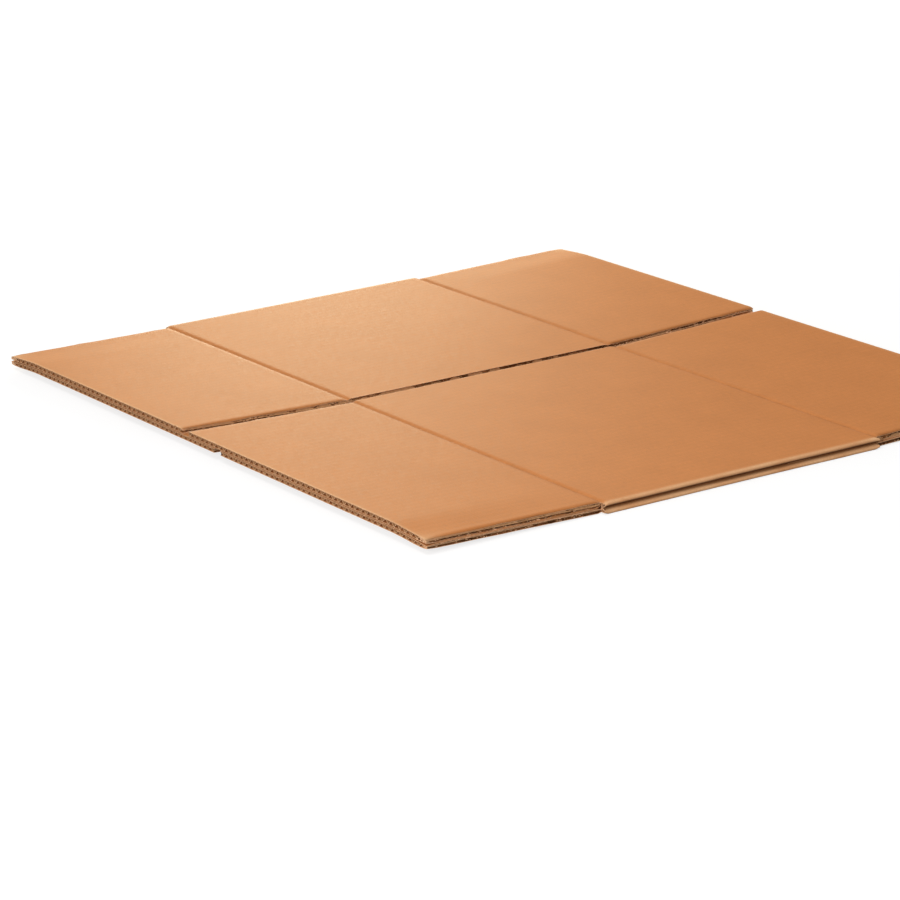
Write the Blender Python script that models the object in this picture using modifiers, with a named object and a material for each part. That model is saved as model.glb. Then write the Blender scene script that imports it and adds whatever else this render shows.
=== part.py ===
"""A knocked-down shipping box: a slotted box of corrugated board, glued at one corner and pressed flat.

The blank is one strip of board: glue tab, long panel, short panel, long panel, short panel. It is
folded over at two of its four corners, so that it lies as two plies, and the tab closes the ring
inside the upper ply. Each panel has a flap at both ends. The flutes run along Y, so their open
ends show along the two flap ends, and the folds lie at -X and +X.
"""

import math

import bmesh
import bpy
from mathutils import Matrix, Vector

MM = 0.001

# The box when it is set up, measured inside
INSIDE_LENGTH = 355.6 * MM
INSIDE_WIDTH = 304.8 * MM
INSIDE_HEIGHT = 254.0 * MM

# The board: two liners with a fluted medium between them
CALIPER = 4.1 * MM
LINER = 0.3 * MM
MEDIUM = 0.3 * MM
FLUTE_PITCH = 7.8 * MM
CREST_FLAT = 1.5 * MM

# The cuts
SLOT_WIDTH = 9.5 * MM
FLAP_OVERLENGTH = 1.2 * MM

# The glue tab, crushed thin so that the seam lies flat
TAB_WIDTH = 35.0 * MM
TAB_THICKNESS = 1.1 * MM
TAB_TAPER = math.radians(15.0)
TAB_END_INSET = 3.0 * MM
TAB_ROOT = 3.0 * MM
GLUE_BITE = 0.1 * MM
SEAM_SHOULDER = 1.5 * MM

# The way it lies: the plies stand a little apart, and the flap ends spring up
PLY_GAP = 1.4 * MM
UPPER_FLAP_RISE = 5.0 * MM
LOWER_FLAP_RISE = 4.6 * MM

# The two folds: a round lobe of crushed board for each ply, with a wide, deep groove between them
FOLD_BULGE = 1.0 * MM
FOLD_LOBE_RADIUS = 1.3 * MM
FOLD_GROOVE_DEPTH = 3.0 * MM
FOLD_GROOVE_FLANK = math.radians(45.0)
FOLD_WALL = 1.5 * MM
FOLD_SLIT_POINT = 1.0 * MM
LOBE_STEPS = 6

# The flap creases: a wide shallow trough outside, and a narrow bead inside
CREASE_WIDTH = 7.0 * MM
CREASE_DEPTH = 1.0 * MM
BEAD_DEPTH = 0.7 * MM
CRUSHED_FLUTES = 1.0 * MM
CREASE_SEGMENTS = 48
BEAD_SEGMENTS = 12

# The corner score of the lower ply
SCORE_WIDTH = 4.0 * MM
SCORE_DEPTH = 0.6 * MM
SCORE_SEGMENTS = 32

# Cutters run past what they cut, and joined pieces reach into each other
OVERSHOOT = 5.0 * MM
ROOT_BITE = 2.0 * MM

BOARD_COLOUR = (0.56, 0.29, 0.125, 1.0)
BOARD_ROUGHNESS = 0.85

# Worked out from the sizes above
LONG_PANEL = INSIDE_LENGTH + CALIPER
SHORT_PANEL = INSIDE_WIDTH + CALIPER
PANEL_HEIGHT = INSIDE_HEIGHT + 2.0 * CALIPER
FLAP_DEPTH = SHORT_PANEL / 2.0 + FLAP_OVERLENGTH
FOLD_LINE = (LONG_PANEL + SHORT_PANEL) / 2.0
THICKNESS = 2.0 * CALIPER + PLY_GAP
UPPER_PLY_FLOOR = CALIPER + PLY_GAP

# The upper ply has its long panel at +X, and the lower ply has it at -X
UPPER_CORNER = FOLD_LINE - LONG_PANEL
LOWER_CORNER = FOLD_LINE - SHORT_PANEL


def clear_scene():
    for scene_object in list(bpy.data.objects):
        bpy.data.objects.remove(scene_object, do_unlink=True)


def new_collection(name):
    collection = bpy.data.collections.new(name)
    bpy.context.scene.collection.children.link(collection)
    return collection


def new_object(name, mesh, collection):
    made = bpy.data.objects.new(name, mesh)
    collection.objects.link(made)
    return made


def hide_as_tool(tool):
    tool.hide_render = True
    tool.display_type = "WIRE"


def evaluated_mesh(source):
    """The mesh of an object with its modifiers, or of a curve, as a new mesh."""
    depsgraph = bpy.context.evaluated_depsgraph_get()
    return bpy.data.meshes.new_from_object(source.evaluated_get(depsgraph))


def outline_prism(name, outline, length, collection):
    """A flat outline of (x, y) points, extruded by length around z = 0, as a mesh object."""
    curve = bpy.data.curves.new(name, "CURVE")
    curve.dimensions = "2D"
    curve.fill_mode = "BOTH"
    curve.extrude = length / 2.0
    spline = curve.splines.new("POLY")
    spline.points.add(len(outline) - 1)
    for point, (x, y) in zip(spline.points, outline):
        point.co = (x, y, 0.0, 1.0)
    spline.use_cyclic_u = True
    drawn = new_object(name + "_outline", curve, collection)
    mesh = evaluated_mesh(drawn)
    bpy.data.objects.remove(drawn)
    welded = bmesh.new()
    welded.from_mesh(mesh)
    bmesh.ops.remove_doubles(welded, verts=welded.verts, dist=0.001 * MM)
    welded.to_mesh(mesh)
    welded.free()
    return new_object(name, mesh, collection)


def stand_section_along_y(prism):
    """Turns a prism so that its outline lies in X and Z and its length runs along Y."""
    prism.data.transform(Matrix.Rotation(math.pi / 2.0, 4, "X"))


def add_boolean(target, tool, operation):
    modifier = target.modifiers.new(tool.name, "BOOLEAN")
    modifier.operation = operation
    modifier.solver = "EXACT"
    modifier.object = tool


def lobe_arc(centre_x, centre_z, first_angle, last_angle):
    """Points on a fold's lobe, from one angle to the other, as (x, z)."""
    points = []
    for step in range(LOBE_STEPS + 1):
        angle = first_angle + (last_angle - first_angle) * step / LOBE_STEPS
        x = centre_x + FOLD_LOBE_RADIUS * math.cos(angle)
        z = centre_z + FOLD_LOBE_RADIUS * math.sin(angle)
        points.append((x, z))
    return points


def fold_nose():
    """The fold at +X from the underside up to the top: lower lobe, groove, upper lobe."""
    nose = FOLD_LINE + FOLD_BULGE
    quarter = math.pi / 2.0
    lobe_x = nose - FOLD_LOBE_RADIUS
    lower = lobe_arc(lobe_x, FOLD_LOBE_RADIUS, -quarter, FOLD_GROOVE_FLANK)
    groove = (nose - FOLD_GROOVE_DEPTH, THICKNESS / 2.0)
    upper = lobe_arc(lobe_x, THICKNESS - FOLD_LOBE_RADIUS, -FOLD_GROOVE_FLANK, quarter)
    return lower + [groove] + upper


def ring_section():
    """The two plies and their folds as one open ring, which the glue tab closes."""
    right_nose = fold_nose()
    left_nose = [(-x, z) for x, z in reversed(right_nose)]
    slit_end = FOLD_LINE + FOLD_BULGE - FOLD_GROOVE_DEPTH - FOLD_WALL
    slit_shoulder = slit_end - FOLD_SLIT_POINT
    short_panel_edge = UPPER_CORNER - SLOT_WIDTH / 2.0
    slit = [
        (short_panel_edge, THICKNESS),
        (short_panel_edge, UPPER_PLY_FLOOR),
        (-slit_shoulder, UPPER_PLY_FLOOR),
        (-slit_end, THICKNESS / 2.0),
        (-slit_shoulder, CALIPER),
        (slit_shoulder, CALIPER),
        (slit_end, THICKNESS / 2.0),
        (slit_shoulder, UPPER_PLY_FLOOR),
        (UPPER_CORNER, UPPER_PLY_FLOOR),
        (UPPER_CORNER + SEAM_SHOULDER, THICKNESS),
    ]
    return right_nose + list(reversed(slit)) + left_nose


def glue_tab(collection):
    """The crushed tab under the short panel's edge, with tapered ends."""
    root = UPPER_CORNER + TAB_ROOT
    free_edge = UPPER_CORNER - TAB_WIDTH
    half_root = PANEL_HEIGHT / 2.0 - TAB_END_INSET
    half_free = half_root - math.tan(TAB_TAPER) * TAB_WIDTH
    outline = [
        (root, -half_root),
        (root, half_root),
        (UPPER_CORNER, half_root),
        (free_edge, half_free),
        (free_edge, -half_free),
        (UPPER_CORNER, -half_root),
    ]
    depth = TAB_THICKNESS + GLUE_BITE
    tab = outline_prism("glue_tab", outline, depth, collection)
    tab.location.z = UPPER_PLY_FLOOR + GLUE_BITE - depth / 2.0
    return tab


def channel_outline(pitch, facing_up):
    """The hollow on one side of the medium, as (x, z) in the flap's own frame, z = 0 at mid-board."""
    medium_height = CALIPER - 2.0 * LINER - MEDIUM
    slope = medium_height / (pitch / 2.0 - CREST_FLAT)
    angle = math.atan(slope)
    narrow = CREST_FLAT / 2.0 - MEDIUM / 2.0 * math.tan(angle / 2.0)
    wide = CREST_FLAT / 2.0 + (medium_height + MEDIUM / 2.0) / slope - MEDIUM / 2.0 / math.sin(angle)
    liner_side = LINER - CALIPER / 2.0
    crest_side = CALIPER / 2.0 - LINER - MEDIUM
    side = -1.0 if facing_up else 1.0
    return [
        (-wide, side * liner_side),
        (wide, side * liner_side),
        (narrow, side * crest_side),
        (-narrow, side * crest_side),
    ]


def channel_row(name, pitch, first_x, count, facing_up, collection):
    """A row of flute hollows, from the crushed board beside the crease out past the flap's end."""
    start = CREASE_WIDTH / 2.0 + CRUSHED_FLUTES
    length = FLAP_DEPTH + OVERSHOOT - start
    row = outline_prism(name, channel_outline(pitch, facing_up), length, collection)
    stand_section_along_y(row)
    row.data.transform(Matrix.Translation((first_x, start + length / 2.0, 0.0)))
    array = row.modifiers.new("flutes", "ARRAY")
    array.count = count
    array.use_relative_offset = False
    array.use_constant_offset = True
    array.constant_offset_displace = (pitch, 0.0, 0.0)
    array.use_merge_vertices = False
    hide_as_tool(row)
    return row


def flap_mesh(name, panel_width, collection):
    """One flap with its flutes, lying along +Y from its crease at the origin."""
    width = panel_width - SLOT_WIDTH
    count = round(width / FLUTE_PITCH)
    pitch = width / count
    size = Vector((width, FLAP_DEPTH + ROOT_BITE, CALIPER))
    middle = Vector((0.0, (FLAP_DEPTH - ROOT_BITE) / 2.0, 0.0))
    slab_mesh = bpy.data.meshes.new(name)
    slab = bmesh.new()
    bmesh.ops.create_cube(slab, size=1.0, matrix=Matrix.LocRotScale(middle, None, size))
    slab.to_mesh(slab_mesh)
    slab.free()
    blank = new_object(name + "_blank", slab_mesh, collection)
    hide_as_tool(blank)
    lower = channel_row(name + "_lower_flutes", pitch, -width / 2.0, count + 1, False, collection)
    upper = channel_row(name + "_upper_flutes", pitch, (pitch - width) / 2.0, count, True, collection)
    add_boolean(blank, lower, "DIFFERENCE")
    add_boolean(blank, upper, "DIFFERENCE")
    return evaluated_mesh(blank)


def place_flap(name, mesh, middle_x, end, ply_middle, rise, collection):
    """A flap turned up about its crease, at the +Y end for end = 1 and the -Y end for end = -1."""
    flap = new_object(name, mesh, collection)
    flap.location = (middle_x, end * PANEL_HEIGHT / 2.0, ply_middle)
    turn = 0.0 if end > 0 else math.pi
    flap.rotation_euler = (math.asin(rise / FLAP_DEPTH), 0.0, turn)
    hide_as_tool(flap)
    return flap


def rod(name, radius, length, segments, axis, middle, collection):
    """A cylinder along X or Y, for pressing a trough into the board."""
    mesh = bpy.data.meshes.new(name)
    turn = Matrix.Rotation(math.pi / 2.0, 4, "Y" if axis == "X" else "X")
    cylinder = bmesh.new()
    bmesh.ops.create_cone(
        cylinder,
        cap_ends=True,
        segments=segments,
        radius1=radius,
        radius2=radius,
        depth=length,
        matrix=Matrix.Translation(middle) @ turn,
    )
    cylinder.to_mesh(mesh)
    cylinder.free()
    tool = new_object(name, mesh, collection)
    hide_as_tool(tool)
    return tool


def trough_radius(width, depth):
    """The radius of a rod that leaves a trough of this width and depth."""
    return (width * width / 4.0 + depth * depth) / (2.0 * depth)


def crease_tools(collection):
    """The troughs outside and the beads inside, at both flap creases of both plies."""
    radius = trough_radius(CREASE_WIDTH, CREASE_DEPTH)
    lift = radius - CREASE_DEPTH
    length = 2.0 * (FOLD_LINE + FOLD_BULGE + OVERSHOOT)
    tools = []
    for end, side in ((1, "far"), (-1, "near")):
        y = end * PANEL_HEIGHT / 2.0
        heights = {"upper": THICKNESS + lift, "lower": -lift}
        for ply, z in heights.items():
            name = f"{side}_{ply}_crease"
            tools.append(rod(name, radius, length, CREASE_SEGMENTS, "X", (0.0, y, z), collection))
        bead = PLY_GAP / 2.0 + BEAD_DEPTH
        middle = (0.0, y, THICKNESS / 2.0)
        bead_length = 2.0 * (FOLD_LINE - SLOT_WIDTH)
        tools.append(rod(f"{side}_bead", bead, bead_length, BEAD_SEGMENTS, "X", middle, collection))
    return tools


def corner_score(collection):
    """The trough of the lower ply's corner score, on its outer face."""
    radius = trough_radius(SCORE_WIDTH, SCORE_DEPTH)
    middle = (LOWER_CORNER, 0.0, SCORE_DEPTH - radius)
    return rod("corner_score", radius, PANEL_HEIGHT + OVERSHOOT, SCORE_SEGMENTS, "Y", middle, collection)


def all_flaps(collection):
    """The eight flaps: two panels, two plies, two ends."""
    long_flap = flap_mesh("long_flap", LONG_PANEL, collection)
    short_flap = flap_mesh("short_flap", SHORT_PANEL, collection)
    plies = {
        "upper": (THICKNESS - CALIPER / 2.0, UPPER_FLAP_RISE, UPPER_CORNER, short_flap, long_flap),
        "lower": (CALIPER / 2.0, LOWER_FLAP_RISE, LOWER_CORNER, long_flap, short_flap),
    }
    flaps = []
    for ply, (ply_middle, rise, corner, left_mesh, right_mesh) in plies.items():
        for end, side in ((1, "far"), (-1, "near")):
            left_x = (corner - FOLD_LINE) / 2.0
            right_x = (corner + FOLD_LINE) / 2.0
            name = f"{side}_{ply}"
            flaps.append(
                place_flap(name + "_left_flap", left_mesh, left_x, end, ply_middle, rise, collection)
            )
            flaps.append(
                place_flap(name + "_right_flap", right_mesh, right_x, end, ply_middle, rise, collection)
            )
    return flaps


def seam_flute(collection):
    """The flute that the cut along the short panel's glued edge lays open, between the flap creases."""
    length = PANEL_HEIGHT - CREASE_WIDTH - 2.0 * CRUSHED_FLUTES
    flute = outline_prism("seam_flute", channel_outline(FLUTE_PITCH, False), length, collection)
    stand_section_along_y(flute)
    flute.location = (UPPER_CORNER - SLOT_WIDTH / 2.0, 0.0, THICKNESS - CALIPER / 2.0)
    hide_as_tool(flute)
    return flute


def board_material():
    material = bpy.data.materials.new("kraft_board")
    material.use_nodes = True
    shader = material.node_tree.nodes["Principled BSDF"]
    shader.inputs["Base Color"].default_value = BOARD_COLOUR
    shader.inputs["Roughness"].default_value = BOARD_ROUGHNESS
    shader.inputs["Metallic"].default_value = 0.0
    return material


def build_box():
    parts = new_collection("flattened cardboard box")
    tools = new_collection("cutters")
    body = outline_prism("flattened_box", ring_section(), PANEL_HEIGHT, parts)
    stand_section_along_y(body)
    body.data.materials.append(board_material())
    tab = glue_tab(tools)
    hide_as_tool(tab)
    add_boolean(body, tab, "UNION")
    for flap in all_flaps(tools):
        add_boolean(body, flap, "UNION")
    for tool in crease_tools(tools):
        add_boolean(body, tool, "DIFFERENCE")
    add_boolean(body, corner_score(tools), "DIFFERENCE")
    add_boolean(body, seam_flute(tools), "DIFFERENCE")


clear_scene()
build_box()
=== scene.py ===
"""The looks of a knocked-down shipping box: kraft liners over a fluted medium, pressed flat as two plies.

The blank is followed round as one ring: glue tab, long panel over the top, fold at +X, short and
long panel underneath, fold at -X, short panel over the top. Each stretch has an outer liner, an
inner liner and the fluted medium between them, all as real sheets with a thickness. Torn walls
stand along the edges that were cut along the flutes, and at the ends of the folds.
"""

import math
from dataclasses import dataclass

import bpy
import numpy as np
from mathutils import Matrix, Vector


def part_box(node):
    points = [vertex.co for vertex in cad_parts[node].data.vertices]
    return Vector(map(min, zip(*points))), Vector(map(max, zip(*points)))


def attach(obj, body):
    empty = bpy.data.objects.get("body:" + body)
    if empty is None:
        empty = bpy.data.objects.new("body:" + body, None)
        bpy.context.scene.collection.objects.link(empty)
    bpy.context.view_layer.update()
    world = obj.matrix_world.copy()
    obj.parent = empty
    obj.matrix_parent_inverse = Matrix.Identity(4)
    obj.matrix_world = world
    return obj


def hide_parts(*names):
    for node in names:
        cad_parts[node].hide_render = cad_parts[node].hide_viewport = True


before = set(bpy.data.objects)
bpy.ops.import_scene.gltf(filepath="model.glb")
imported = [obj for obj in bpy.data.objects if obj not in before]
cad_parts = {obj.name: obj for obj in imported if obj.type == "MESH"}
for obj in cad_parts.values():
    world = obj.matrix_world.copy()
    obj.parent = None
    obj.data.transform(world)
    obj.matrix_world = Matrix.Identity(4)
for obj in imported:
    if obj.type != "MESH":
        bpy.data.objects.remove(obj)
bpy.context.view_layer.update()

MM = 0.001
NODE = "flattened_box"
BODY = "root"

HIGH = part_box(NODE)[1]
TIP_MARGIN = 0.1 * MM
NOSE = HIGH.x
FLAP_TIP = HIGH.y - TIP_MARGIN
HIGHEST = HIGH.z

# The board and the cuts, as the part has them
CALIPER = 4.1 * MM
PLY_GAP = 1.4 * MM
THICKNESS = 2.0 * CALIPER + PLY_GAP
UPPER_FLOOR = CALIPER + PLY_GAP
MIDDLE = THICKNESS / 2.0
FLUTE_PITCH = 7.8 * MM
LONG_PANEL = 359.7 * MM
SHORT_PANEL = 308.9 * MM
FOLD_LINE = (LONG_PANEL + SHORT_PANEL) / 2.0
CREASE_Y = 131.1 * MM
FLAP_DEPTH = FLAP_TIP - CREASE_Y
SLOT_WIDTH = 9.5 * MM
HALF_SLOT = SLOT_WIDTH / 2.0
FLAP_EDGE = FOLD_LINE - HALF_SLOT
UPPER_CORNER = FOLD_LINE - LONG_PANEL
LOWER_CORNER = FOLD_LINE - SHORT_PANEL

# The paper
LINER = 0.34 * MM
MEDIUM = 0.32 * MM
WASHBOARD = 0.05 * MM
COLUMNS_PER_FLUTE = 4
MEDIUM_REFINEMENT = 3
LEAST_WAVE = 0.05 * MM
FLUTE_DRIFT = 0.06
FLUTE_LEAN = {"upper_long": 0.006, "lower": -0.004, "upper_short": 0.009}
MEDIUM_RECESS = 0.25 * MM
RECESS_REACH = 1.5 * MM

# Rows along Y, as the first step, the growth of the steps and the largest step
OUTER_ROWS = (0.6 * MM, 1.45, 12.0 * MM)
INNER_ROWS = (0.6 * MM, 1.9, 40.0 * MM)
MEDIUM_ROWS = (0.8 * MM, 2.6, 60.0 * MM)

# The folds
FOLD_FLARE = 0.3 * MM
FLARE_REACH = 5.0 * MM
FOLD_WAVE = 0.6 * MM
LOBE_RADIUS = 1.5 * MM
LOBE_POINTS = 24
GROOVE_DEPTH = 4.0 * MM
GROOVE_FLANK = math.radians(58.0)
FOLD_WALL = 1.0 * MM
FOLD_STATIONS = 64
HALF_FOLD_STATIONS = FOLD_STATIONS // 2
HALF_FOLD_FLUTES = 1.5

# The painted shade in the groove of a fold
GROOVE_EDGE = 1.0 * MM
GROOVE_HEIGHT = MIDDLE + 0.7 * MM
GROOVE_CORE = 1.1 * MM
GROOVE_FADE = 1.3 * MM

# The glue tab and the seam
TAB_WIDTH = 35.0 * MM
TAB_THICKNESS = 1.1 * MM
TAB_TAPER = math.radians(15.0)
TAB_END_INSET = 3.0 * MM
TAB_CLEARANCE = 0.05 * MM
TAB_STATIONS = 16
SHOULDER_START = UPPER_CORNER - 1.8 * MM
SHOULDER_END = UPPER_CORNER + 4.0 * MM
SHOULDER_STATIONS = 9
LEAD_FLUTES = 0.1

# The creases and the way the flaps lie
CREASE_WIDTH = 7.0 * MM
CREASE_DEPTH = 1.0 * MM
BEAD_DEPTH = 0.7 * MM
UPPER_RISE = HIGHEST - THICKNESS
LOWER_RISE = UPPER_RISE + 0.9 * MM
CORNER_DROOP = 2.0 * MM
DROOP_LENGTH = 50.0 * MM
END_CRUSH = 0.12 * MM
END_CRUSH_REACH = 3.0 * MM
CORNER_CRUSH = 0.7 * MM
CORNER_CRUSH_REACH = 7.0 * MM
SCORE_WIDTH = 4.0 * MM
SCORE_DEPTH = 0.6 * MM
SCORE_STATIONS = 10
WARP = 0.35 * MM
FRAY_DEPTH = 0.12 * MM
FRAY_REACH = 1.0 * MM
FRAY_ACROSS = 9.0

# The broken line of painted shade along the flap creases
FLAP_CREASE_SHADE_WIDTH = 1.6 * MM
FLAP_CREASE_SHADE = 0.22
FLAP_CREASE_SHADE_LEVEL = 0.6
FLAP_CREASE_SHADE_SWING = 0.6

# The edges that were cut along the flutes: rolled outside, sagging or with a burr inside
CUT_REACH = 1.7 * MM
CUT_FADE = 5.0 * MM
ROLL_DROP = 1.1 * MM
LOWER_ROLL = 0.3
ROLL_LEVEL = 0.8
ROLL_SWING = 0.3
SAG_SHARE = 0.8
BURR = 0.9 * MM
BURR_LEVEL = 0.7
BURR_SWING = 0.3
# Painted shade on the rolled cut edges: its level, its swing and its least share
CUT_SHADE_LEVEL = 0.8
CUT_SHADE_SWING = 0.4
LEAST_CUT_SHADE = 0.2

# Where the outer face is scuffed pale, and the pale band of the fold lobes, which is partly painted
# highlight
TIP_WEAR = 0.9
TIP_WEAR_REACH = 1.0 * MM
CORNER_WEAR = 1.1
CORNER_WEAR_REACH = 7.0 * MM
FOLD_WEAR_AND_HIGHLIGHT_INSET = 1.4 * MM
FOLD_WEAR_AND_HIGHLIGHT_REACH = 2.4 * MM
FOLD_WEAR_AND_HIGHLIGHT_LEVEL = 0.8
FOLD_WEAR_AND_HIGHLIGHT_SWING = 0.3

# The torn walls, with lengths of tears and pale stretches in steps along the wall
WALL_START = 1.0 * MM
WALL_END = 0.5 * MM
WALL_SPACING = 0.9 * MM
WALL_HEIGHTS = (0.05, 0.95)
WALL_THICKNESS = 0.16 * MM
WALL_DEPTH = 0.6 * MM
FLAKE_DEPTH = 0.12 * MM
SECTION_DEPTH = 0.35 * MM
SIDE_LAYERS = 8
SECTION_LAYERS = 6
TEAR_LENGTH = 5
TEAR_SPECKLE = 0.5
TEAR_LIMITS = (0.05, 3.2)
HOLE_LENGTH = 3
HOLLOW_DEPTH = 3.2 * MM
HOLLOW_SHARE = 0.25
HOLLOW_CLIMB = 3.0
INNER_LIP = 0.18
LIP_STAND = 0.7
SHUT_REACH = 4.0 * MM
SHUT_DEPTH = 0.2
PALE_LENGTH = 12
PALE_SWING = 0.35
LEAST_PALE = 0.2

# How much of a torn wall is kept, measured on noise of about unit size: pairs go from one end to the other
RAGGED = 0.9
FLAKES = -1.3
WHOLE = (9.0, 9.0)
FADING = (2.0, -1.2)

# The crushed corners of the flap ends
UPPER_CRUSHED = 13.0 * MM
LOWER_CRUSHED = 7.0 * MM
CORNER_REFINEMENT = 5
FOLD_END_REFINEMENT = 2

TO_LEFT = (-1.0, 0.0, 0.0)
TO_RIGHT = (1.0, 0.0, 0.0)

SHARP_ANGLE = math.radians(42.0)
NOISE = np.random.default_rng(14)
NOISE_PEAK = 1.5


def smooth_step(t):
    """0 below 0, 1 above 1 and a soft rise between."""
    t = np.clip(t, 0.0, 1.0)
    return t * t * (3.0 - 2.0 * t)


def slow_noise(shortest, longest, waves=9):
    """A smooth random function of x and y between about -1 and 1, as a sum of sine waves."""
    lengths = np.exp(NOISE.uniform(math.log(shortest), math.log(longest), waves))
    turns = NOISE.uniform(0.0, 2.0 * math.pi, waves)
    starts = NOISE.uniform(0.0, 2.0 * math.pi, waves)

    def value(x, y):
        total = 0.0
        for length, turn, start in zip(lengths, turns, starts):
            along = (x * math.cos(turn) + y * math.sin(turn)) * 2.0 * math.pi / length
            total = total + np.sin(along + start)
        return total / math.sqrt(waves) / NOISE_PEAK

    return value


def fibrous_noise(shape, length):
    """Random values of about unit size, drawn out along the first axis."""
    padded = NOISE.normal(0.0, 1.0, (shape[0] + length - 1, shape[1]))
    total = sum(padded[start : start + shape[0]] for start in range(length))
    return total / math.sqrt(length)


sheet_warp = slow_noise(120.0 * MM, 320.0 * MM)
fold_wave = slow_noise(12.0 * MM, 90.0 * MM)
lobe_wave = slow_noise(9.0 * MM, 60.0 * MM)
tip_fray = slow_noise(2.5 * MM, 9.0 * MM)
flute_drift = slow_noise(25.0 * MM, 120.0 * MM)
hollow_run = slow_noise(14.0 * MM, 70.0 * MM)


@dataclass
class Run:
    """A stretch of the folded blank, as stations along its section in X and Z.

    outer and inner are the two faces, and flutes counts the flutes up to each station. flap tells
    for each interval whether flaps go on from it, and half is how far the board between the
    creases reaches along Y, as a share of CREASE_Y.
    """

    outer: np.ndarray
    inner: np.ndarray
    flutes: np.ndarray
    flap: np.ndarray
    half: np.ndarray


def join(*runs):
    """Runs end to end. Each starts at the last station of the one before, which is kept once."""
    first = runs[0]
    fields = [[first.outer], [first.inner], [first.flutes], [first.flap], [first.half]]
    count = first.flutes[-1]
    for run in runs[1:]:
        count_shift = count - run.flutes[0]
        fields[0].append(run.outer[1:])
        fields[1].append(run.inner[1:])
        fields[2].append(run.flutes[1:] + count_shift)
        fields[3].append(run.flap)
        fields[4].append(run.half[1:])
        count = run.flutes[-1] + count_shift
    return Run(*[np.concatenate(field) for field in fields])


def straight(first_x, last_x, outer_z, inner_z, intervals, flutes, flap):
    """A flat stretch of a ply."""
    x = np.linspace(first_x, last_x, intervals + 1)
    outer = np.column_stack([x, np.full_like(x, outer_z)])
    inner = np.column_stack([x, np.full_like(x, inner_z)])
    count = np.linspace(0.0, flutes, intervals + 1)
    return Run(outer, inner, count, np.full(intervals, flap), np.ones_like(x))


def flap_run(first_x, last_x, outer_z, inner_z):
    """The width of one flap, with a whole number of flutes."""
    flutes = round(abs(last_x - first_x) / FLUTE_PITCH)
    return straight(first_x, last_x, outer_z, inner_z, flutes * COLUMNS_PER_FLUTE, flutes, True)


def resample(path, count):
    """Points at even distances along a path."""
    steps = np.linalg.norm(np.diff(path, axis=0), axis=1)
    along = np.concatenate([[0.0], np.cumsum(steps)])
    marks = np.linspace(0.0, along[-1], count)
    return np.column_stack([np.interp(marks, along, path[:, axis]) for axis in (0, 1)])


def arc(centre, radius, first, last):
    angles = np.linspace(first, last, LOBE_POINTS)
    return np.column_stack([centre[0] + radius * np.cos(angles), centre[1] + radius * np.sin(angles)])


def upper_half_fold():
    """Half a fold at +X: from the upper ply's flap edge round its lobe into the groove."""
    nose = NOSE - FOLD_FLARE
    centre = (nose - LOBE_RADIUS, THICKNESS - LOBE_RADIUS)
    lobe = arc(centre, LOBE_RADIUS, math.pi / 2.0, -GROOVE_FLANK)
    outer = np.vstack([[(FLAP_EDGE, THICKNESS)], lobe, [(nose - GROOVE_DEPTH, MIDDLE)]])
    apex = nose - GROOVE_DEPTH - FOLD_WALL
    inner = np.array([(FLAP_EDGE, UPPER_FLOOR), (apex - PLY_GAP / 2.0, UPPER_FLOOR), (apex, MIDDLE)])
    count = HALF_FOLD_STATIONS
    flutes = np.linspace(0.0, HALF_FOLD_FLUTES, count)
    no_flap = np.zeros(count - 1, bool)
    return Run(resample(outer, count), resample(inner, count), flutes, no_flap, np.ones(count))


def mirrored_x(run):
    turn = np.array([-1.0, 1.0])
    return Run(run.outer * turn, run.inner * turn, run.flutes, run.flap, run.half)


def mirrored_z(run):
    turn = np.array([1.0, -1.0])
    shift = np.array([0.0, THICKNESS])
    return Run(run.outer * turn + shift, run.inner * turn + shift, run.flutes, run.flap, run.half)


def backwards(run):
    count = run.flutes[-1] - run.flutes[::-1]
    return Run(run.outer[::-1], run.inner[::-1], count, run.flap[::-1], run.half[::-1])


def tab_run():
    """The crushed glue tab, from its free edge to the shoulder where the long panel starts."""
    x = np.linspace(UPPER_CORNER - TAB_WIDTH, SHOULDER_START, TAB_STATIONS)
    top = UPPER_FLOOR - TAB_CLEARANCE
    outer = np.column_stack([x, np.full_like(x, top)])
    inner = np.column_stack([x, np.full_like(x, top - TAB_THICKNESS)])
    half = 1.0 - (TAB_END_INSET + np.clip(UPPER_CORNER - x, 0.0, None) * math.tan(TAB_TAPER)) / CREASE_Y
    flutes = np.linspace(0.0, (SHOULDER_START - x[0]) / FLUTE_PITCH, TAB_STATIONS)
    return Run(outer, inner, flutes, np.zeros(TAB_STATIONS - 1, bool), half)


def shoulder_run():
    """The board rising from the crushed tab to its full thickness."""
    t = np.linspace(0.0, 1.0, SHOULDER_STATIONS)
    x = SHOULDER_START + (SHOULDER_END - SHOULDER_START) * t
    lift = smooth_step(t)
    low_outer = UPPER_FLOOR - TAB_CLEARANCE
    low_inner = low_outer - TAB_THICKNESS
    outer = np.column_stack([x, low_outer + (THICKNESS - low_outer) * lift])
    inner = np.column_stack([x, low_inner + (UPPER_FLOOR - low_inner) * lift])
    half = 1.0 - (TAB_END_INSET / CREASE_Y) * (1.0 - lift)
    return Run(outer, inner, t, np.zeros(SHOULDER_STATIONS - 1, bool), half)


def score_run():
    """The lower ply's flat corner: a slot at each end and the corner score between them."""
    run = straight(
        LOWER_CORNER + HALF_SLOT, LOWER_CORNER - HALF_SLOT, 0.0, CALIPER, SCORE_STATIONS, 1.0, False
    )
    across = (run.outer[:, 0] - LOWER_CORNER) / (SCORE_WIDTH / 2.0)
    run.outer[:, 1] = SCORE_DEPTH * np.clip(1.0 - across * across, 0.0, 1.0)
    return run


def upper_long_run():
    edge = UPPER_CORNER + HALF_SLOT
    lead = straight(SHOULDER_END, edge, THICKNESS, UPPER_FLOOR, 1, LEAD_FLUTES, False)
    panel = flap_run(edge, FLAP_EDGE, THICKNESS, UPPER_FLOOR)
    return join(tab_run(), shoulder_run(), lead, panel, upper_half_fold())


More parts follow.
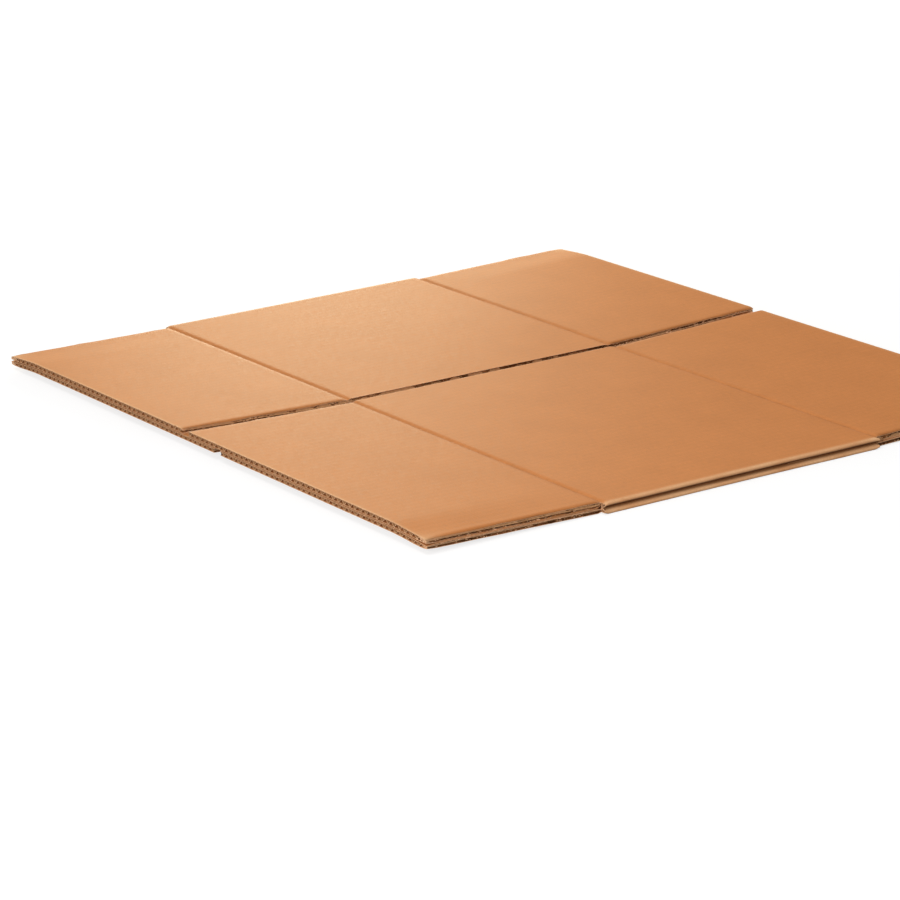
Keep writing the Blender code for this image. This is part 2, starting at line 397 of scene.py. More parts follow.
def lower_run():
    rising = backwards(mirrored_z(upper_half_fold()))
    short = flap_run(FLAP_EDGE, LOWER_CORNER + HALF_SLOT, 0.0, CALIPER)
    long = flap_run(LOWER_CORNER - HALF_SLOT, -FLAP_EDGE, 0.0, CALIPER)
    return join(rising, short, score_run(), long, mirrored_x(mirrored_z(upper_half_fold())))


def upper_short_run():
    falling = backwards(mirrored_x(upper_half_fold()))
    panel = flap_run(-FLAP_EDGE, UPPER_CORNER - HALF_SLOT, THICKNESS, UPPER_FLOOR)
    return join(falling, panel)


def refined(run, times):
    """The run with each interval cut into several."""
    old = np.arange(len(run.flutes))
    new = np.linspace(0.0, old[-1], (len(old) - 1) * times + 1)
    outer = np.column_stack([np.interp(new, old, run.outer[:, axis]) for axis in (0, 1)])
    inner = np.column_stack([np.interp(new, old, run.inner[:, axis]) for axis in (0, 1)])
    half = np.interp(new, old, run.half)
    return Run(outer, inner, np.interp(new, old, run.flutes), np.repeat(run.flap, times), half)


def part_of(run, first, last):
    """The stations from first to last, both kept."""
    return Run(
        run.outer[first : last + 1],
        run.inner[first : last + 1],
        run.flutes[first : last + 1],
        run.flap[first:last],
        run.half[first : last + 1],
    )


def station_at(run, x):
    """The station of the outer face nearest to x."""
    return int(np.argmin(np.abs(run.outer[:, 0] - x)))


def graded(length, first, growth, largest):
    """Distances from 0 to length, in steps that grow from the first to the largest."""
    steps = [first]
    while sum(steps) < length:
        steps.append(min(steps[-1] * growth, largest))
    marks = np.concatenate([[0.0], np.cumsum(steps)])
    return marks * length / marks[-1]


def board_rows(first, growth, largest):
    """Rows along Y over the whole blank, close together at the creases and at the flap ends."""
    half_flap = graded(FLAP_DEPTH / 2.0, first, growth, largest)
    flap = np.concatenate([half_flap, FLAP_DEPTH - half_flap[::-1][1:]])
    panel = graded(CREASE_Y, first, growth, largest)
    half = np.concatenate([CREASE_Y - panel[::-1], CREASE_Y + flap[1:]])
    return np.concatenate([-half[::-1][:-1], half])


def on_upper_ply(section):
    """0 on the lower ply, 1 on the upper one and a soft change round the folds."""
    return smooth_step((section[:, 1:] - CALIPER) / PLY_GAP)


def near_cut(section, y_rows):
    """How near the board is to a cut along its flutes: 1 at the cut and 0 a few millimetres off."""
    corner = LOWER_CORNER + (UPPER_CORNER - LOWER_CORNER) * on_upper_ply(section)
    to_slot = np.minimum(np.abs(np.abs(section[:, :1]) - FOLD_LINE), np.abs(section[:, :1] - corner))
    distance = np.maximum(to_slot - HALF_SLOT, 0.0)
    reach = np.abs(y_rows)[None, :] - CREASE_Y
    return np.exp(-((distance / CUT_REACH) ** 2)) * smooth_step(reach / CUT_FADE)


def face_points(run, face, y_rows):
    """Where the outer or inner face of the board lies, as an array of stations by rows."""
    section = run.outer if face == "outer" else run.inner
    side = np.sign(section[:, :1])
    from_middle = np.abs(section[:, :1])
    x = section[:, :1] + 0.0 * y_rows[None, :]
    z = section[:, 1:] + 0.0 * y_rows[None, :]
    y = np.where(np.abs(y_rows) <= CREASE_Y, y_rows[None, :] * run.half[:, None], y_rows[None, :])
    height = z - MIDDLE
    upper = on_upper_ply(section)
    at_cut = near_cut(section, y_rows)
    reach = np.abs(y_rows)[None, :] - CREASE_Y
    along = np.clip(reach / FLAP_DEPTH, 0.0, 1.0)

    # The folds flare out at their ends and wave between them
    in_fold = np.clip((from_middle - FLAP_EDGE) / (NOSE - FLAP_EDGE), 0.0, 1.0)
    flare = np.exp(np.minimum(reach, 0.0) / FLARE_REACH)
    nose_shift = FOLD_FLARE * flare - FOLD_WAVE * (0.5 + 0.5 * fold_wave(0.0 * x, y)) * (1.0 - flare)
    x = x + side * in_fold * nose_shift

    # Both faces are pressed in at the flap creases, the flap ends and the corners
    trough = np.where(np.abs(reach) < CREASE_WIDTH / 2.0, np.cos(math.pi * reach / CREASE_WIDTH) ** 2, 0.0)
    crush = END_CRUSH * np.exp((reach - FLAP_DEPTH) / END_CRUSH_REACH)
    from_corner = np.hypot(FLAP_EDGE - np.abs(x), FLAP_DEPTH - reach)
    crush = crush + CORNER_CRUSH * np.exp(-from_corner / CORNER_CRUSH_REACH)
    flute_angle = 2.0 * math.pi * run.flutes[:, None]
    if face == "outer":
        dip = 0.5 + 0.5 * np.cos(flute_angle)
        roll = ROLL_DROP * (LOWER_ROLL + (1.0 - LOWER_ROLL) * upper) * at_cut
        roll = roll * (ROLL_LEVEL + ROLL_SWING * lobe_wave(y, 0.0 * x))
        thin = -(CREASE_DEPTH * trough + crush + WASHBOARD * dip + roll)
        z = z + thin * np.clip(height / MIDDLE, -1.0, 1.0)
    else:
        dip = 0.5 - 0.5 * np.cos(flute_angle)
        bulge = BEAD_DEPTH * trough + crush + WASHBOARD * dip
        z = z + bulge * np.clip(height / (PLY_GAP / 2.0), -1.0, 1.0)
        gap = PLY_GAP - (LOWER_RISE - UPPER_RISE) * along
        z = z - SAG_SHARE * gap * upper * at_cut
        burr = BURR * (1.0 - upper) * at_cut * (BURR_LEVEL + BURR_SWING * lobe_wave(y, 0.0 * x))
        x = x + np.where(from_middle > FLAP_EDGE / 2.0, side * burr, 0.0)

    # The flaps rise from their creases and droop at the outer corners, and the panels are warped
    rise = LOWER_RISE + (UPPER_RISE - LOWER_RISE) * upper
    droop = CORNER_DROOP * smooth_step((np.abs(x) - FLAP_EDGE + DROOP_LENGTH) / DROOP_LENGTH)
    z = z + (rise - droop) * along
    z = z + WARP * (0.5 + 0.5 * np.clip(sheet_warp(x, y), -1.0, 1.0)) * (1.0 - along)
    at_tip = smooth_step((reach - FLAP_DEPTH + FRAY_REACH) / FRAY_REACH)
    y = y - np.sign(y) * (FRAY_DEPTH * (1.0 + tip_fray(x, FRAY_ACROSS * z)) * at_tip)
    return np.stack([x, y + 0.0 * x, z], axis=-1)


def medium_points(run, y_rows, lean):
    """The medium's middle surface: a wave between the two liners."""
    outer = face_points(run, "outer", y_rows)
    inner = face_points(run, "inner", y_rows)
    across = outer - inner
    depth = np.linalg.norm(across, axis=-1, keepdims=True)
    room = np.maximum(depth - 2.0 * LINER - MEDIUM, LEAST_WAVE)
    skew = lean * y_rows[None, :] / FLUTE_PITCH
    phase = run.flutes[:, None] + skew + FLUTE_DRIFT * flute_drift(outer[..., 0], outer[..., 1])
    wave = 0.5 + 0.5 * np.cos(2.0 * math.pi * phase)
    height = LINER + MEDIUM / 2.0 + room * wave[..., None]
    points = inner + across / depth * height
    recess = MEDIUM_RECESS * smooth_step((np.abs(y_rows) - FLAP_TIP + RECESS_REACH) / RECESS_REACH)
    points[..., 1] -= (np.sign(y_rows) * recess)[None, :]
    return points


def kept_faces(run, y_rows):
    """Which cells of the grid are board: all between the creases, and only the flaps beyond them."""
    middles = (y_rows[1:] + y_rows[:-1]) / 2.0
    between = np.abs(middles) < CREASE_Y
    return between[None, :] | run.flap[:, None]


def grid_mesh(name, points, keep, flip, attributes):
    """A mesh of the kept cells of a grid, with float or vector attributes on its points."""
    columns, rows = points.shape[:2]
    index = np.arange(columns * rows).reshape(columns, rows)
    corners = [index[:-1, :-1], index[1:, :-1], index[1:, 1:], index[:-1, 1:]]
    if flip:
        corners.reverse()
    faces = np.stack([corner[keep] for corner in corners], axis=-1)
    used = np.unique(faces)
    renumber = np.zeros(columns * rows, int)
    renumber[used] = np.arange(len(used))
    mesh = bpy.data.meshes.new(name)
    mesh.from_pydata(points.reshape(-1, 3)[used].tolist(), [], renumber[faces].tolist())
    for label, values in attributes.items():
        kind = "FLOAT_VECTOR" if values.ndim == 3 else "FLOAT"
        field = "vector" if values.ndim == 3 else "value"
        attribute = mesh.attributes.new(label, kind, "POINT")
        flat = values.reshape(columns * rows, -1)[used]
        attribute.data.foreach_set(field, flat.astype(np.float32).ravel())
    return mesh


def finished_piece(name, mesh, thickness, offset, materials):
    """A sheet mesh made a closed shell of some thickness, and placed as a piece of the box."""
    for material in materials:
        mesh.materials.append(material)
    sheet = bpy.data.objects.new(name + "_sheet", mesh)
    bpy.context.scene.collection.objects.link(sheet)
    shell = sheet.modifiers.new("thickness", "SOLIDIFY")
    shell.thickness = thickness
    shell.offset = offset
    shell.use_rim = True
    shell.material_offset_rim = len(materials) - 1
    solid = bpy.data.meshes.new_from_object(sheet.evaluated_get(bpy.context.evaluated_depsgraph_get()))
    bpy.data.objects.remove(sheet)
    solid.name = name
    solid.shade_smooth()
    solid.set_sharp_from_angle(angle=SHARP_ANGLE)
    piece = bpy.data.objects.new(name, solid)
    bpy.context.scene.collection.objects.link(piece)
    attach(piece, BODY)
    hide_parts(NODE)
    return piece


def developed(run):
    """Distance along the blank at each station, halfway between the two faces."""
    middle = (run.outer + run.inner) / 2.0
    steps = np.linalg.norm(np.diff(middle, axis=0), axis=1)
    return np.concatenate([[0.0], np.cumsum(steps)])


# Numbers that keep the patterns of the papers apart
OUTSIDE = 0.0
INSIDE = 1.0
BETWEEN = 2.0


def sheet_place(run, y_rows, layer):
    """The place on the unfolded sheet, for the fibres of the paper."""
    along = developed(run)[:, None] + 0.0 * y_rows[None, :]
    across = 0.0 * along + y_rows[None, :]
    return np.stack([along, across, np.full_like(along, layer)], axis=-1)


def painted_shade_of(points, at_cut):
    """Painted shade on the board: 1 at the core of a fold's groove, and less along creases and rolled
    edges.
    """
    x, y, z = points[..., 0], points[..., 1], points[..., 2]
    in_fold = smooth_step((np.abs(x) - FLAP_EDGE) / GROOVE_EDGE)
    between = np.abs(y) <= CREASE_Y
    # Painted shade in the groove of each fold, between the flap creases
    off_groove = np.abs(z - GROOVE_HEIGHT)
    groove = in_fold * between * smooth_step(1.0 - (off_groove - GROOVE_CORE) / GROOVE_FADE)
    # Painted shade along the flap creases, broken along them
    off_flap_crease = (np.abs(y) - CREASE_Y) / FLAP_CREASE_SHADE_WIDTH
    pressed = FLAP_CREASE_SHADE * (1.0 - in_fold) * np.exp(-(off_flap_crease**2))
    broken = np.clip(FLAP_CREASE_SHADE_LEVEL + FLAP_CREASE_SHADE_SWING * lobe_wave(x, y), 0.0, 1.0)
    # Painted shade on the rolled cut edges, uneven along them
    uneven = np.clip(CUT_SHADE_LEVEL + CUT_SHADE_SWING * fold_wave(x, y), LEAST_CUT_SHADE, 1.0)
    return np.maximum(np.maximum(groove, pressed * broken), at_cut * uneven)


def edge_wear_and_fold_highlight(points):
    """How pale the outer face is: scuffed along the flap ends and at the outer corners of the flaps, and
    along the folds partly scuffed and partly painted highlight.
    """
    x, y, z = points[..., 0], points[..., 1], points[..., 2]
    from_tip = FLAP_TIP - np.abs(y)
    from_corner = np.hypot(FLAP_EDGE - np.abs(x), from_tip)
    tip = TIP_WEAR * np.exp(-from_tip / TIP_WEAR_REACH)
    corner = CORNER_WEAR * np.exp(-from_corner / CORNER_WEAR_REACH)
    # Along the fold lobes the pale band is partly scuffing and partly painted highlight
    lobe = np.exp(-(((np.abs(x) - NOSE + FOLD_WEAR_AND_HIGHLIGHT_INSET) / FOLD_WEAR_AND_HIGHLIGHT_REACH) ** 2))
    fold = lobe * (FOLD_WEAR_AND_HIGHLIGHT_LEVEL + FOLD_WEAR_AND_HIGHLIGHT_SWING * lobe_wave(y, z))
    return np.clip(tip + corner + fold, 0.0, 1.0)


def make_outer_liner(name, run, material, edge_material):
    y_rows = board_rows(*OUTER_ROWS)
    points = face_points(run, "outer", y_rows)
    glue = 0.5 + 0.5 * np.cos(2.0 * math.pi * run.flutes)
    attributes = {
        "sheet_place": sheet_place(run, y_rows, OUTSIDE),
        "glue_line": glue[:, None] + 0.0 * y_rows[None, :],
        "wear_and_highlight": edge_wear_and_fold_highlight(points),
        "painted_shade": painted_shade_of(points, near_cut(run.outer, y_rows)),
    }
    mesh = grid_mesh(name, points, kept_faces(run, y_rows), False, attributes)
    return finished_piece(name, mesh, LINER, -1.0, [material, edge_material])


def make_inner_liner(name, run, material, edge_material):
    y_rows = board_rows(*INNER_ROWS)
    points = face_points(run, "inner", y_rows)
    glue = 0.5 - 0.5 * np.cos(2.0 * math.pi * run.flutes)
    attributes = {
        "sheet_place": sheet_place(run, y_rows, INSIDE),
        "glue_line": glue[:, None] + 0.0 * y_rows[None, :],
        "wear_and_highlight": 0.0 * points[..., 0],
        "painted_shade": 0.0 * points[..., 0],
    }
    mesh = grid_mesh(name, points, kept_faces(run, y_rows), True, attributes)
    return finished_piece(name, mesh, LINER, -1.0, [material, edge_material])


def make_medium(name, run, lean, material, edge_material):
    fine = refined(run, MEDIUM_REFINEMENT)
    y_rows = board_rows(*MEDIUM_ROWS)
    points = medium_points(fine, y_rows, lean)
    attributes = {"sheet_place": sheet_place(fine, y_rows, BETWEEN)}
    mesh = grid_mesh(name, points, kept_faces(fine, y_rows), False, attributes)
    return finished_piece(name, mesh, MEDIUM, 0.0, [material, edge_material])


def new_material(name):
    material = bpy.data.materials.new(name)
    material.use_nodes = True
    return material, material.node_tree, material.node_tree.nodes["Principled BSDF"]


def add_node(tree, kind, inputs=None, **settings):
    """A shader node with its settings, and its inputs either linked or set."""
    node = tree.nodes.new(kind)
    for name, value in settings.items():
        setattr(node, name, value)
    for socket, value in (inputs or {}).items():
        if isinstance(value, bpy.types.NodeSocket):
            tree.links.new(value, node.inputs[socket])
        else:
            node.inputs[socket].default_value = value
    return node


def attribute_of(tree, name, output):
    return add_node(tree, "ShaderNodeAttribute", attribute_name=name).outputs[output]


def noise_of(tree, place, stretch, scale, detail):
    """Noise on the sheet, drawn out along the paper machine's direction."""
    stretched = add_node(
        tree, "ShaderNodeMapping", {"Vector": place, "Scale": stretch}, vector_type="POINT"
    )
    noise = add_node(
        tree,
        "ShaderNodeTexNoise",
        {"Vector": stretched.outputs["Vector"], "Scale": scale, "Detail": detail, "Roughness": 0.6},
    )
    return noise.outputs["Fac"]


def ranged(tree, value, source, target):
    """A value carried over from one range to another, and held at the ends."""
    inputs = {
        "Value": value,
        "From Min": source[0],
        "From Max": source[1],
        "To Min": target[0],
        "To Max": target[1],
    }
    return add_node(tree, "ShaderNodeMapRange", inputs).outputs["Result"]


def product(tree, first, second):
    node = add_node(tree, "ShaderNodeMath", {0: first, 1: second}, operation="MULTIPLY")
    return node.outputs["Value"]


def mixed(tree, factor, first, second, kind="MIX"):
    """Two colours mixed by a factor, each either linked or set."""
    node = add_node(tree, "ShaderNodeMix", {"Factor": factor}, data_type="RGBA", blend_type=kind)
    sockets = [socket for socket in node.inputs if socket.type == "RGBA"]
    for socket, value in zip(sockets, (first, second)):
        if isinstance(value, bpy.types.NodeSocket):
            tree.links.new(value, socket)
        else:
            socket.default_value = value
    return [socket for socket in node.outputs if socket.type == "RGBA"][0]


def add_bump(tree, shader, height, strength, distance):
    bump = add_node(tree, "ShaderNodeBump", {"Strength": strength, "Distance": distance, "Height": height})
    tree.links.new(bump.outputs["Normal"], shader.inputs["Normal"])


# Ranges of a noise: most of it lies in the first two, and only its flecks in the last
USUAL = (0.3, 0.7)
CENTRAL = (0.35, 0.65)
SELDOM = (0.66, 0.74)

# The kraft liners, with the tones that their noises reach
OUTSIDE_KRAFT = (0.62, 0.235, 0.075, 1.0)
INSIDE_KRAFT = (0.58, 0.24, 0.085, 1.0)
# The pale kraft of scuffed edges, which on the fold lobes also serves as painted highlight
PALE_KRAFT_WORN_AND_HIGHLIT = (0.86, 0.53, 0.29, 1.0)
PALE_PATCHINESS = (0.6, 1.0)
CLOUD_TONE = (0.96, 1.03)
STREAK_TONE = (0.93, 1.06)
FIBRE_TONE = (0.93, 1.06)
GLUE_TONE = (1.01, 0.985)
FLECK_TONE = (1.0, 0.8)
# How strongly painted shade darkens the kraft, and the share of its colour that the shade goes down to
PAINTED_SHADE_STRENGTH = 0.75
PAINTED_SHADE_TONE = 0.2
LINER_ROUGHNESS = (0.56, 0.68)
LINER_SPECULAR = 0.02


def kraft_liner(name, colour):
    """Brown kraft paper: cloudy, with fibres drawn out across the flutes, flecks and scuffed edges, painted
    highlight on the folds, and painted shade in the fold grooves, along the flap creases and at rolled cut
    edges.
    """
    material, tree, shader = new_material(name)
    place = attribute_of(tree, "sheet_place", "Vector")
    clouds = noise_of(tree, place, stretch=(1.0, 1.3, 1.0), scale=17.0, detail=4.0)
    streaks = noise_of(tree, place, stretch=(1.0, 6.0, 1.0), scale=120.0, detail=5.0)
    fibres = noise_of(tree, place, stretch=(1.0, 5.0, 1.0), scale=620.0, detail=3.0)
    flecks = noise_of(tree, place, stretch=(1.0, 3.0, 1.0), scale=1500.0, detail=1.0)
    glue_line = attribute_of(tree, "glue_line", "Fac")
    tone = product(tree, ranged(tree, clouds, USUAL, CLOUD_TONE), ranged(tree, streaks, USUAL, STREAK_TONE))
    tone = product(tree, tone, ranged(tree, fibres, USUAL, FIBRE_TONE))
    tone = product(tree, tone, ranged(tree, glue_line, (0.0, 1.0), GLUE_TONE))
    tone = product(tree, tone, ranged(tree, flecks, SELDOM, FLECK_TONE))
    shade = add_node(tree, "ShaderNodeCombineColor", {"Red": tone, "Green": tone, "Blue": tone})
    toned = mixed(tree, 1.0, colour, shade.outputs["Color"], "MULTIPLY")
    patchiness = ranged(tree, fibres, CENTRAL, PALE_PATCHINESS)
    # Paler where scuffed, and on the fold lobes also as painted highlight
    worn_and_highlit = mixed(tree, product(tree, attribute_of(tree, "wear_and_highlight", "Fac"), patchiness), toned, PALE_KRAFT_WORN_AND_HIGHLIT)
    # Painted shade in the fold grooves, along the flap creases and at the rolled cut edges
    painted_shade_amount = product(tree, attribute_of(tree, "painted_shade", "Fac"), PAINTED_SHADE_STRENGTH)
    with_painted_shade = mixed(tree, painted_shade_amount, worn_and_highlit, tuple(PAINTED_SHADE_TONE * value for value in colour[:3]) + (1.0,))
    tree.links.new(with_painted_shade, shader.inputs["Base Color"])
    tree.links.new(ranged(tree, streaks, USUAL, LINER_ROUGHNESS), shader.inputs["Roughness"])
    shader.inputs["Specular IOR Level"].default_value = LINER_SPECULAR
    add_bump(tree, shader, mixed(tree, 0.5, streaks, fibres), strength=0.35, distance=0.08 * MM)
    return material


# Raw paper, with the dark and the light colour of each kind
CUT_COLOURS = ((0.66, 0.36, 0.18, 1.0), (0.95, 0.6, 0.37, 1.0))
MEDIUM_COLOURS = ((0.38, 0.18, 0.075, 1.0), (0.64, 0.36, 0.18, 1.0))
TORN_COLOURS = ((0.08, 0.03, 0.01, 1.0), (0.36, 0.15, 0.055, 1.0))
PALE_PAPER = (0.95, 0.55, 0.32, 1.0)
PALE_SPECKLE = (0.75, 1.0)
EVEN = (1.0, 1.0, 1.0)
DRAWN_OUT = (1.0, 0.3, 1.0)
HALF_SPREAD = 0.2
DIMMEST_SPECKLE = 0.25
DIMMEST_PATCH = 0.6
PATCH_SIZE = 6.0
RAW_ROUGHNESS = 0.9


def raw_paper(name, colours, scale, stretch, contrast=1.0):
    """Rough uncoated paper: the fluted medium, the cut edges and the torn fibres."""
    material, tree, shader = new_material(name)
    dark, light = colours
    place = add_node(tree, "ShaderNodeTexCoord").outputs["Object"]
    speckle = noise_of(tree, place, stretch, scale, detail=4.0)
    patches = noise_of(tree, place, stretch, scale / PATCH_SIZE, detail=2.0)
    spread = HALF_SPREAD / contrast
    source = (0.5 - spread, 0.5 + spread)
    speckle_tone = ranged(tree, speckle, source, (DIMMEST_SPECKLE / contrast, 1.0))
    patch_tone = ranged(tree, patches, source, (DIMMEST_PATCH / contrast, 1.0))
    rough = mixed(tree, product(tree, speckle_tone, patch_tone), dark, light)
    speckled = ranged(tree, speckle, CENTRAL, PALE_SPECKLE)
    pale = product(tree, attribute_of(tree, "pale", "Fac"), speckled)
    tree.links.new(mixed(tree, pale, rough, PALE_PAPER), shader.inputs["Base Color"])
    shader.inputs["Roughness"].default_value = RAW_ROUGHNESS
    shader.inputs["Specular IOR Level"].default_value = 0.0
    add_bump(tree, shader, speckle, strength=0.5, distance=0.1 * MM)
    return material


def torn_wall(name, outer, inner, inward, layers, depth, kept, material):
    """A ragged wall of crushed board between two edges, set back by some depth.

    A flute laid open makes it hollow in places, and its lip at the inner liner is paler. Cells are
    kept where the noise is below kept: all of them at 9, most at 1 and only flakes at -1.
    """
    heights = np.linspace(WALL_HEIGHTS[0], WALL_HEIGHTS[1], layers + 1)
    shape = (len(outer), layers + 1)
    jitter = fibrous_noise(shape, TEAR_LENGTH) + TEAR_SPECKLE * NOISE.normal(0.0, 1.0, shape)
    points = outer[:, None, :] + (inner - outer)[:, None, :] * heights[None, :, None]
    hollow = HOLLOW_SHARE + hollow_run(outer[:, 0] + HOLLOW_CLIMB * outer[:, 2], outer[:, 1])
    hollow = np.clip(hollow, 0.0, 1.0)
    dish = 4.0 * heights * (1.0 - heights)
    set_back = depth * np.clip(1.0 + jitter, TEAR_LIMITS[0], TEAR_LIMITS[1])
    set_back = set_back + HOLLOW_DEPTH * hollow[:, None] * dish[None, :]
    open_part = smooth_step((FLAP_TIP - np.abs(outer[:, 1])) / SHUT_REACH)
    lip = np.exp(-(((1.0 - heights) / INNER_LIP) ** 2))
    set_back = set_back * (SHUT_DEPTH + (1.0 - SHUT_DEPTH) * open_part)[:, None]
    set_back = set_back * (1.0 - LIP_STAND * lip)[None, :]
    points = points + np.asarray(inward) * set_back[..., None]
    holes = fibrous_noise((shape[0] - 1, shape[1] - 1), HOLE_LENGTH)
    pale = lip[None, :] * np.clip(1.0 + PALE_SWING * fibrous_noise(shape, PALE_LENGTH), LEAST_PALE, 1.0)
    mesh = grid_mesh(name, points, holes < kept, False, {"pale": pale})
    return finished_piece(name, mesh, WALL_THICKNESS, 0.0, [material])


def side_wall(name, run, station, y_rows, inward, depth, kept, material):
    """A ragged wall along Y at one station."""
    single = part_of(run, station, station)
    outer = face_points(single, "outer", y_rows)[0]
    inner = face_points(single, "inner", y_rows)[0]
    return torn_wall(name, outer, inner, inward, SIDE_LAYERS, depth, kept, material)


def section_wall(name, run, first, last, y, times, kept, material):
    """A ragged wall across the board's section at one y, facing away from the middle.

    The share kept goes from one end of the wall to the other between the two numbers given.
    """
    rows = np.array([y])
    stretch = refined(part_of(run, first, last), times)
    outer = face_points(stretch, "outer", rows)[:, 0]
    inner = face_points(stretch, "inner", rows)[:, 0]
    inward = (0.0, -math.copysign(1.0, y), 0.0)
    fading = np.linspace(kept[0], kept[1], len(outer) - 1)[:, None]
    return torn_wall(name, outer, inner, inward, SECTION_LAYERS, SECTION_DEPTH, fading, material)


def make_side_walls(runs, torn_paper, flake_paper):
    """Torn walls along the sides of the flaps, with paler flakes in front of them."""
    flap_rows = np.arange(CREASE_Y + WALL_START, FLAP_TIP - WALL_END, WALL_SPACING)
    edges = {
        "upper_long": ((UPPER_CORNER + HALF_SLOT, TO_RIGHT), (FLAP_EDGE, TO_LEFT)),
        "upper_short": ((-FLAP_EDGE, TO_RIGHT), (UPPER_CORNER - HALF_SLOT, TO_LEFT)),
        "lower": (
            (FLAP_EDGE, TO_LEFT),
            (LOWER_CORNER + HALF_SLOT, TO_RIGHT),
            (LOWER_CORNER - HALF_SLOT, TO_LEFT),
            (-FLAP_EDGE, TO_RIGHT),
        ),
    }
    for ply, places in edges.items():
        run = runs[ply]
        for number, (x, inward) in enumerate(places):
            station = station_at(run, x)
            for side, rows in (("far", flap_rows), ("near", -flap_rows)):
                name = f"{ply}_{side}_side_{number}"
                side_wall(name, run, station, rows, inward, WALL_DEPTH, RAGGED, torn_paper)
                side_wall(name + "_flakes", run, station, rows, inward, FLAKE_DEPTH, FLAKES, flake_paper)


def make_crushed_corners(runs, paper):
    """The outer corners of the flap ends, where the flutes are crushed shut."""
    corners = {
        "right_upper": ("upper_long", FLAP_EDGE - UPPER_CRUSHED, FLAP_EDGE, FADING[::-1]),
        "right_lower": ("lower", FLAP_EDGE, FLAP_EDGE - LOWER_CRUSHED, FADING),
        "left_lower": ("lower", LOWER_CRUSHED - FLAP_EDGE, -FLAP_EDGE, FADING[::-1]),
        "left_upper": ("upper_short", -FLAP_EDGE, UPPER_CRUSHED - FLAP_EDGE, FADING),
    }
    for corner, (ply, first_x, last_x, kept) in corners.items():
        run = runs[ply]
        first = station_at(run, first_x)
        last = station_at(run, last_x)
        for side, y in (("far", FLAP_TIP), ("near", -FLAP_TIP)):
            section_wall(f"{side}_{corner}_corner", run, first, last, y, CORNER_REFINEMENT, kept, paper)


def make_seam_edge(run, paper):
    """The cut edge of the upper short panel, next to the glued seam."""
    rows = np.arange(-CREASE_Y, CREASE_Y, WALL_SPACING)
    side_wall("seam_edge", run, len(run.flutes) - 1, rows, TO_LEFT, WALL_DEPTH, RAGGED, paper)


def make_fold_ends(runs, paper):
    """The crushed ends of both folds, at the slots."""
    long_run = runs["upper_long"]
    lower = runs["lower"]
    short_run = runs["upper_short"]
    long_last = len(long_run.flutes) - 1
    lower_last = len(lower.flutes) - 1
    fold_last = HALF_FOLD_STATIONS - 1
    ends = {
        "right_upper": (long_run, station_at(long_run, FLAP_EDGE), long_last),
        "right_lower": (lower, 0, fold_last),
        "left_lower": (lower, lower_last - fold_last, lower_last),
        "left_upper": (short_run, 0, fold_last),
    }
    for side, y in (("far", CREASE_Y), ("near", -CREASE_Y)):
        for corner, (run, first, last) in ends.items():
            name = f"{side}_{corner}_fold_end"
            section_wall(name, run, first, last, y, FOLD_END_REFINEMENT, WHOLE, paper)


def make_board():
    outside = kraft_liner("kraft_outside", OUTSIDE_KRAFT)
    inside = kraft_liner("kraft_inside", INSIDE_KRAFT)
    cut_paper = raw_paper("cut_paper", CUT_COLOURS, scale=900.0, stretch=EVEN)
    medium_paper = raw_paper("medium_paper", MEDIUM_COLOURS, scale=500.0, stretch=EVEN)
    torn_paper = raw_paper("torn_paper", TORN_COLOURS, scale=800.0, stretch=DRAWN_OUT, contrast=2.2)
    runs = {"upper_long": upper_long_run(), "lower": lower_run(), "upper_short": upper_short_run()}
    for name, run in runs.items():
        make_outer_liner(name + "_outer_liner", run, outside, cut_paper)
        make_inner_liner(name + "_inner_liner", run, inside, cut_paper)
        make_medium(name + "_medium", run, FLUTE_LEAN[name], medium_paper, cut_paper)
    make_side_walls(runs, torn_paper, cut_paper)
    make_crushed_corners(runs, cut_paper)
    make_seam_edge(runs["upper_short"], torn_paper)
    make_fold_ends(runs, torn_paper)


CAMERA_PLACE = Vector((2.6186, -1.7229, 0.8937))
CAMERA_AZIMUTH = math.radians(57.47)
CAMERA_ELEVATION = math.radians(16.77)
CAMERA_ROLL = math.radians(-2.24)
CAMERA_LENS = 156.7
CAMERA_SENSOR = 36.0
CAMERA_NEAREST = 0.05
CAMERA_FARTHEST = 50.0


def make_camera():
    """The camera at the photograph's viewing angle, with its slight roll."""
    flat = math.cos(CAMERA_ELEVATION)
    forward = Vector(
        (-math.sin(CAMERA_AZIMUTH) * flat, math.cos(CAMERA_AZIMUTH) * flat, -math.sin(CAMERA_ELEVATION))
    )
    right = Vector((math.cos(CAMERA_AZIMUTH), math.sin(CAMERA_AZIMUTH), 0.0))
    up = right.cross(forward)
    x_axis = math.cos(CAMERA_ROLL) * right + math.sin(CAMERA_ROLL) * up
    y_axis = -math.sin(CAMERA_ROLL) * right + math.cos(CAMERA_ROLL) * up
    turn = Matrix((x_axis, y_axis, -forward)).transposed()
    data = bpy.data.cameras.new("camera")
    data.lens = CAMERA_LENS
    data.sensor_width = CAMERA_SENSOR
    data.clip_start = CAMERA_NEAREST
    data.clip_end = CAMERA_FARTHEST
    camera = bpy.data.objects.new("camera", data)
    bpy.context.scene.collection.objects.link(camera)
    camera.matrix_world = Matrix.Translation(CAMERA_PLACE) @ turn.to_4x4()
    bpy.context.scene.camera = camera


def area_lamp(name, place, aim, size, power, colour):
    data = bpy.data.lights.new(name, "AREA")
    data.shape = "SQUARE"
    data.size = size
    data.energy = power
    data.color = colour
    lamp = bpy.data.objects.new(name, data)
    bpy.context.scene.collection.objects.link(lamp)
    lamp.location = place
    lamp.rotation_mode = "QUATERNION"
    lamp.rotation_quaternion = (Vector(aim) - Vector(place)).to_track_quat("-Z", "Y")


